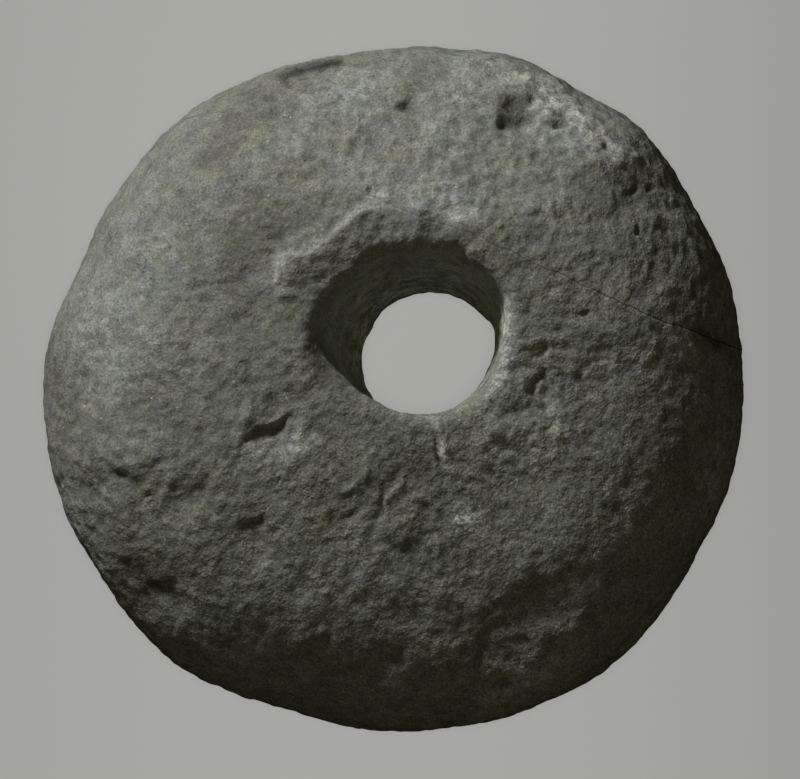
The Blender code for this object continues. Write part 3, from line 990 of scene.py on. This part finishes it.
class Nodes:
    """Short calls for the nodes of one material."""

    def __init__(self, material):
        self.tree = material.node_tree

    def add(self, kind, **settings):
        node = self.tree.nodes.new(kind)
        for name, value in settings.items():
            setattr(node, name, value)
        return node

    def link(self, source, node, socket):
        if isinstance(source, (int, float, tuple)):
            node.inputs[socket].default_value = source
        else:
            self.tree.links.new(source, node.inputs[socket])

    def attribute(self, name):
        """One of the values that the skin holds at each of its points."""
        return self.add("ShaderNodeAttribute", attribute_name=name).outputs["Fac"]

    def noise(self, place, size, detail, roughness=0.5):
        """Noise whose waves are this many millimetres long."""
        node = self.add("ShaderNodeTexNoise")
        self.link(place, node, "Vector")
        node.inputs["Scale"].default_value = 1.0 / (size * MM)
        node.inputs["Detail"].default_value = detail
        node.inputs["Roughness"].default_value = roughness
        return node.outputs["Fac"]

    def cells(self, place, size):
        """Random cells of this size: the distance to the middle of a cell in its own size, and its color."""
        node = self.add("ShaderNodeTexVoronoi")
        self.link(place, node, "Vector")
        node.inputs["Scale"].default_value = 1.0 / (size * MM)
        return node.outputs["Distance"], node.outputs["Color"]

    def specks(self, place, size, radius, share, change):
        """Change in tone from a round speck in the middle of some of the cells, stronger in some than in
        others."""
        distance, color = self.cells(place, size)
        speck = self.between(distance, radius, radius * 1.6, 1.0, 0.0)
        return self.math("MULTIPLY", speck, self.between(color, 0.5 - share, 0.8 - share, change, 0.0))

    def between(self, value, low, high, at_low, at_high):
        """Value from low to high turned into at_low to at_high, and held there beyond."""
        node = self.add("ShaderNodeMapRange")
        node.interpolation_type = "SMOOTHSTEP"
        for socket, number in enumerate((value, low, high, at_low, at_high)):
            self.link(number, node, socket)
        return node.outputs["Result"]

    def math(self, operation, first, second):
        node = self.add("ShaderNodeMath", operation=operation)
        self.link(first, node, 0)
        self.link(second, node, 1)
        return node.outputs[0]

    def scaled(self, color, amount):
        """Color times an amount."""
        node = self.add("ShaderNodeVectorMath", operation="SCALE")
        self.link(color, node, 0)
        self.link(amount, node, "Scale")
        return node.outputs[0]

    def tinted(self, color, place, size, spread):
        """Color whose red, green and blue each wander by noise of this size, as far as the spread says."""
        noise = self.add("ShaderNodeTexNoise")
        self.link(place, noise, "Vector")
        noise.inputs["Scale"].default_value = 1.0 / (size * MM)
        noise.inputs["Detail"].default_value = 5.0
        noise.inputs["Roughness"].default_value = 0.65
        factor = self.add("ShaderNodeVectorMath", operation="MULTIPLY_ADD")
        self.link(noise.outputs["Color"], factor, 0)
        self.link(spread, factor, 1)
        self.link(tuple(1.0 - share / 2 for share in spread), factor, 2)
        product = self.add("ShaderNodeVectorMath", operation="MULTIPLY")
        self.link(color, product, 0)
        self.link(factor.outputs[0], product, 1)
        return product.outputs[0]

    def mixed(self, amount, first, second):
        """First color, going to the second as the amount goes to 1."""
        node = self.add("ShaderNodeMix", data_type="RGBA")
        self.link(amount, node, 0)
        self.link(first, node, 6)
        self.link(second, node, 7)
        return node.outputs[2]


def stone_finish():
    """Material of the whole stone: noise and cells in its own coordinates, and the attributes of its skin."""
    material = bpy.data.materials.new("worn_grey_stone")
    material.use_nodes = True
    nodes = Nodes(material)
    surface = material.node_tree.nodes["Principled BSDF"]
    place = nodes.add("ShaderNodeTexCoord").outputs["Object"]
    hollow_here = nodes.attribute("hollow")
    tone_and_light_here = nodes.attribute("tone_and_painted_light")
    open_grain = nodes.attribute("open_grain")

    # The tone: broad mottling, fine speckle, hollows painted darker as shade and some dust, rises a little
    # paler as painted light, and pale patches that break up at their edges
    mottle = nodes.between(nodes.noise(place, MOTTLE_SIZE, 3.0, 0.6), 0.3, 0.7, 0.84, 1.16)
    size, strength = SPECKLE
    speckle = nodes.math("SUBTRACT", nodes.noise(place, size, 1.0, 0.7), 0.5)
    # speckle that grows away from the lamp, partly painted light
    speckle = nodes.math("MULTIPLY", speckle, nodes.math("MULTIPLY", open_grain, strength))
    tone = nodes.math("MULTIPLY", mottle, nodes.math("EXPONENT", speckle, 0.0))
    # painted shade in the hollows, with some dust, and a slight painted highlight on the rises
    tone = nodes.math("MULTIPLY", tone, nodes.between(hollow_here, 0.3, 1.0, 1.05, 0.76))
    patchy = nodes.between(nodes.noise(place, PATCH_SIZE, 5.0, 0.7), 0.38, 0.60, 0.1, 1.7)
    paler = nodes.math("MULTIPLY", nodes.math("MAXIMUM", tone_and_light_here, 0.0), patchy)
    change = nodes.math("ADD", paler, nodes.math("MINIMUM", tone_and_light_here, 0.0))
    tone = nodes.math("MULTIPLY", tone, nodes.math("ADD", change, 1.0))

    # Dark mineral grains and a few bright and dark specks
    dark_grains = nodes.between(nodes.noise(place, DARK_GRAIN_SIZE, 2.0, 0.6), 0.60, 0.70, 1.0, 0.72)
    tone = nodes.math("MULTIPLY", tone, dark_grains)
    tone = nodes.math("ADD", tone, nodes.specks(place, BRIGHT_SPECK_SPACING, 0.05, 0.0, 1.6))
    dark_specks = nodes.specks(place, DARK_SPECK_SPACING, 0.07, -0.1, -0.5)
    tone = nodes.math("MULTIPLY", tone, nodes.math("ADD", dark_specks, 1.0))

    # The crack: a dark line, painted as the shade in it, with a painted lit edge below it
    crack_here = nodes.attribute("crack_offset")
    from_crack = nodes.math("ABSOLUTE", crack_here, 0.0)
    crack_tone = nodes.between(from_crack, *CRACK_DARK, -0.65, 0.0)
    lit_distance, lit_width, lit_end = CRACK_LIT
    beside_crack = nodes.math("ABSOLUTE", nodes.math("ADD", crack_here, lit_distance), 0.0)
    crack_tone = nodes.math("ADD", crack_tone, nodes.between(beside_crack, lit_width, lit_end, 0.35, 0.0))
    crack_tone = nodes.math("MULTIPLY", crack_tone, nodes.attribute("crack_strength"))
    tone = nodes.math("MULTIPLY", tone, nodes.math("ADD", crack_tone, 1.0))

    # bluer tint of the lime crust and of the painted light
    lime_and_lit_tint_here = nodes.attribute("lime_and_lit_tint")
    color = nodes.scaled(nodes.mixed(lime_and_lit_tint_here, (*STONE_GREY, 1.0), (*LIME_GREY, 1.0)), tone)
    color = nodes.tinted(color, place, TINT_SIZE, TINT_SPREAD)
    nodes.link(color, surface, "Base Color")
    surface.inputs["Roughness"].default_value = STONE_ROUGHNESS
    surface.inputs["Specular IOR Level"].default_value = STONE_SHINE

    bump = nodes.add("ShaderNodeBump")
    bump.inputs["Distance"].default_value = BUMP_HEIGHT * MM
    coarse = nodes.between(nodes.noise(place, BUMP_CALM_SIZE, 2.0), 0.35, 0.65, 0.70, 1.0)
    nodes.link(nodes.math("MULTIPLY", coarse, open_grain), bump, "Strength")
    turned_place = nodes.add("ShaderNodeMapping")
    nodes.link(place, turned_place, "Vector")
    turned_place.inputs["Rotation"].default_value = GRAIN_TURN
    nodes.link(nodes.noise(turned_place.outputs["Vector"], BUMP_SIZE, 4.0, 0.60), bump, "Height")
    nodes.link(bump.outputs["Normal"], surface, "Normal")

    # Grains just past the edge of the shade still catch the light, as real ones do
    material.cycles.use_bump_map_correction = False
    return material


stone_mesh.materials.append(stone_finish())
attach(stone, "root")
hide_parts("whorl")


# The table
# A plain pale ground under the whorl. It is lit on its own, so that the bore shows it as bright as the open
# ground, and it throws no light up on the stone.

TABLE_GREY = (0.368, 0.371, 0.348)
TABLE_GLOW = 0.86
TABLE_BRIGHT_LINE = -5.0     # along X
TABLE_FALL_OFF = 80.0        # way from there to where the glow would be gone
TABLE_LARGEST_FALL = 0.25    # the share of the glow that is lost at most
TABLE_SIZE = 6000.0
TABLE_GAP = 0.02             # keeps it just clear of the flat that the whorl lies on


def table_finish():
    """Flat pale paint that glows a little, with a painted pool of light along a line."""
    material = bpy.data.materials.new("pale_table")
    material.use_nodes = True
    surface = material.node_tree.nodes["Principled BSDF"]
    surface.inputs["Base Color"].default_value = (*TABLE_GREY, 1.0)
    surface.inputs["Roughness"].default_value = 1.0
    surface.inputs["Specular IOR Level"].default_value = 0.0
    surface.inputs["Emission Color"].default_value = (*TABLE_GREY, 1.0)

    # Painted pool of light: the glow falls off evenly to both sides of a line along Y
    nodes = Nodes(material)
    place = nodes.add("ShaderNodeTexCoord").outputs["Object"]
    split = nodes.add("ShaderNodeSeparateXYZ")
    nodes.link(place, split, 0)
    away = nodes.math("ABSOLUTE", nodes.math("SUBTRACT", split.outputs["X"], TABLE_BRIGHT_LINE * MM), 0.0)
    fall = nodes.math("POWER", nodes.math("DIVIDE", away, TABLE_FALL_OFF * MM), 2.0)
    left = nodes.math("SUBTRACT", 1.0, nodes.math("MINIMUM", fall, TABLE_LARGEST_FALL))
    glow = nodes.math("MULTIPLY", left, TABLE_GLOW)
    nodes.link(glow, surface, "Emission Strength")
    return material


table_mesh = bpy.data.meshes.new("table")
half_table = TABLE_SIZE / 2 * MM
corner_ways = ((-1, -1), (1, -1), (1, 1), (-1, 1))
table_corners = [(x * half_table, y * half_table, -TABLE_GAP * MM) for x, y in corner_ways]
table_mesh.from_pydata(table_corners, [], [(0, 1, 2, 3)])
table_mesh.materials.append(table_finish())
table = bpy.data.objects.new("table", table_mesh)
bpy.context.scene.collection.objects.link(table)
table.visible_diffuse = False
table.visible_glossy = False


# The light
# A small lamp stands close by, low on the upper left, and rakes over the face. Weak soft light comes from
# above and from below. These reach the stone alone, and a soft light from straight above the table alone.

LAMP_TURN = 122.4
LAMP_RISE = 24.7
LAMP_AWAY = 210.0
LAMP_SIZE = 45.0
LAMP_POWER = 0.292
FILL_STRENGTH = 0.21
FILL_COLOR = (1.0, 0.97, 0.66)
FILL_SPREAD = 160.0
BOUNCE_STRENGTH = 0.14
BOUNCE_SPREAD = 60.0
TABLE_LIGHT_STRENGTH = 0.63
TABLE_LIGHT_SPREAD = 8.0
LIT_LEVEL = 6.0              # height of the point that all the lights face
SKY_LEVEL = 500.0            # a sun's place only gives its way, so any height does


def only_on(light, *receivers):
    """The light reaches these objects alone."""
    group = bpy.data.collections.new(light.name + "_receivers")
    for receiver in receivers:
        group.objects.link(receiver)
    light.light_linking.receiver_collection = group


def make_light(name, kind, strength, place, target, color=(1.0, 1.0, 1.0)):
    """Light at a place, turned to a target."""
    data = bpy.data.lights.new(name, kind)
    data.energy = strength
    data.color = color
    light = bpy.data.objects.new(name, data)
    light.location = place * MM
    light.rotation_mode = "QUATERNION"
    light.rotation_quaternion = Vector(target - place).to_track_quat("-Z", "Y")
    bpy.context.scene.collection.objects.link(light)
    return light


stone_middle = np.array((0.0, 0.0, LIT_LEVEL))
above = np.array((0.0, 0.0, SKY_LEVEL))
lamp_way = np.array(
    (
        math.cos(math.radians(LAMP_TURN)) * math.cos(math.radians(LAMP_RISE)),
        math.sin(math.radians(LAMP_TURN)) * math.cos(math.radians(LAMP_RISE)),
        math.sin(math.radians(LAMP_RISE)),
    )
)
lamp = make_light("low_lamp", "AREA", LAMP_POWER, stone_middle + lamp_way * LAMP_AWAY, stone_middle)
lamp.data.shape = "DISK"
lamp.data.size = LAMP_SIZE * MM
only_on(lamp, stone)

fill = make_light("soft_fill", "SUN", FILL_STRENGTH, above, stone_middle, FILL_COLOR)
fill.data.angle = math.radians(FILL_SPREAD)
only_on(fill, stone)

bounce = make_light("soft_bounce", "SUN", BOUNCE_STRENGTH, -above, stone_middle)
bounce.data.angle = math.radians(BOUNCE_SPREAD)
only_on(bounce, stone)

table_light = make_light("table_light", "SUN", TABLE_LIGHT_STRENGTH, above, stone_middle)
table_light.data.angle = math.radians(TABLE_LIGHT_SPREAD)
only_on(table_light, table)

world = bpy.data.worlds.new("pale_room")
world.use_nodes = True
world.node_tree.nodes["Background"].inputs["Color"].default_value = (*TABLE_GREY, 1.0)
world.node_tree.nodes["Background"].inputs["Strength"].default_value = 1.0
world.cycles_visibility.diffuse = False
world.cycles_visibility.glossy = False
bpy.context.scene.world = world
bpy.context.scene.view_settings.view_transform = "Standard"


# The camera
# It looks straight down through a long lens, with the whorl nearly filling the frame.

CAMERA_LENS = 800.0
SENSOR = 36.0
FRAME_WIDTH = 54.86          # seen at the level of the rim
FRAME_X = 0.446
FRAME_Y = -0.050

camera_data = bpy.data.cameras.new("camera")
camera_data.lens = CAMERA_LENS
camera_data.sensor_width = SENSOR
camera = bpy.data.objects.new("camera", camera_data)
camera_rise = WIDEST_LEVEL * THICKNESS + CAMERA_LENS / SENSOR * FRAME_WIDTH
camera.location = (FRAME_X * MM, FRAME_Y * MM, camera_rise * MM)
bpy.context.scene.collection.objects.link(camera)
bpy.context.scene.camera = camera
